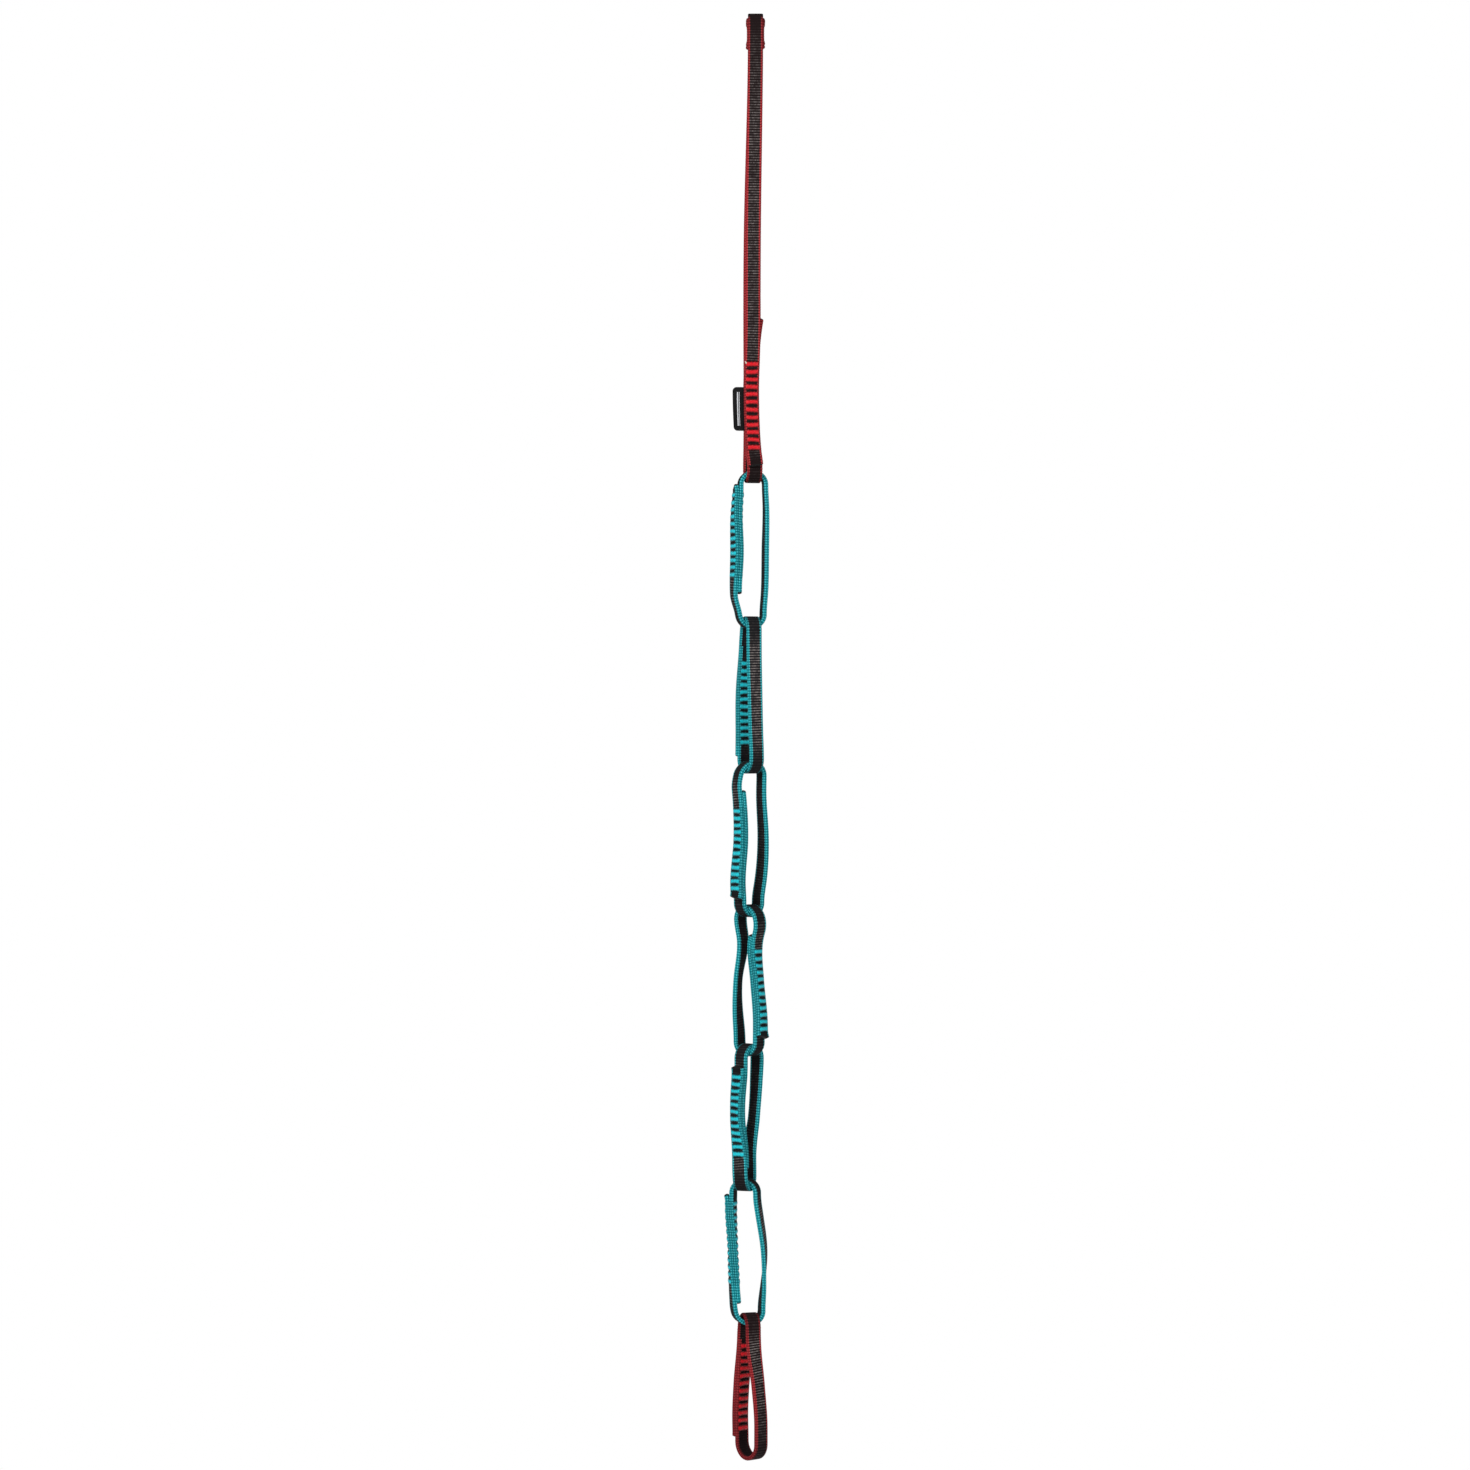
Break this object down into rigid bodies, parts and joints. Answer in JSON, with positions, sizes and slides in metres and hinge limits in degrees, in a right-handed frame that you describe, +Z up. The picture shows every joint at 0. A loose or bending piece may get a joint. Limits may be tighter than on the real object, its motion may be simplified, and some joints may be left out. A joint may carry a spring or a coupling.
{
  "type": "climbing daisy chain",
  "caption": "Ring-to-ring personal anchor chain of flat webbing: a long tie-in loop, linked short loops and an end loop, each closed by a bar-tacked lap seam.",
  "frame": {"origin": "highest point of the space inside the tie-in loop, on the liner's inner face, where a harness carries the hanging chain", "axes": "+Z up along the hanging chain, from the end loop to the tie-in loop; +Y away from the viewer of the picture, along the tie-in loop's top bight; +X to the viewer's right"},
  "size_m": [0.0352, 0.0319, 1.1561],
  "materials": {
    "webbing_red_edge": "woven polyamide and polyethylene webbing, charcoal face with crimson selvedges and red bar tacks",
    "webbing_teal_edge": "woven polyamide and polyethylene webbing, charcoal face with teal selvedges and teal bar tacks",
    "liner": "thin woven webbing, charcoal with crimson edges",
    "label": "smooth black woven label"
  },
  "bodies": {
    "tie_in": {"tie_in_loop": "webbing_red_edge", "tie_in_liner": "liner", "label_tab": "label"},
    "link_1": {"link_1": "webbing_teal_edge"},
    "link_2": {"link_2": "webbing_teal_edge"},
    "link_3": {"link_3": "webbing_teal_edge"},
    "link_4": {"link_4": "webbing_teal_edge"},
    "link_5": {"link_5": "webbing_teal_edge"},
    "link_6": {"link_6": "webbing_teal_edge"},
    "end_loop": {"end_loop": "webbing_red_edge"}
  },
  "joints": [
    {"name": "link_1_swing", "type": "hinge", "parent": "tie_in", "child": "link_1", "pos_m": [-0.0022, 0, -0.3584], "axis": [0.9863, 0.165, 0], "range_deg": [-110, 110]},
    {"name": "link_2_swing", "type": "hinge", "parent": "link_1", "child": "link_2", "pos_m": [-0.0036, 0, -0.4751], "axis": [-0.2419, 0.9703, 0], "range_deg": [-110, 110]},
    {"name": "link_3_swing", "type": "hinge", "parent": "link_2", "child": "link_3", "pos_m": [-0.0039, 0, -0.59072], "axis": [0.8746, 0.4848, 0], "range_deg": [-120, 120]},
    {"name": "link_4_swing", "type": "hinge", "parent": "link_3", "child": "link_4", "pos_m": [-0.0051, 0, -0.70553], "axis": [-0.6947, 0.7193, 0], "range_deg": [-120, 120]},
    {"name": "link_5_swing", "type": "hinge", "parent": "link_4", "child": "link_5", "pos_m": [-0.0051, 0, -0.81683], "axis": [0.6428, 0.766, 0], "range_deg": [-140, 140]},
    {"name": "link_6_swing", "type": "hinge", "parent": "link_5", "child": "link_6", "pos_m": [-0.0083, 0, -0.92464], "axis": [-0.9511, 0.309, 0], "range_deg": [-140, 140]},
    {"name": "end_loop_swing", "type": "hinge", "parent": "link_6", "child": "end_loop", "pos_m": [-0.0047, 0, -1.03206], "axis": [-0.284, 0.9588, 0], "range_deg": [-120, 120]}
  ]
}
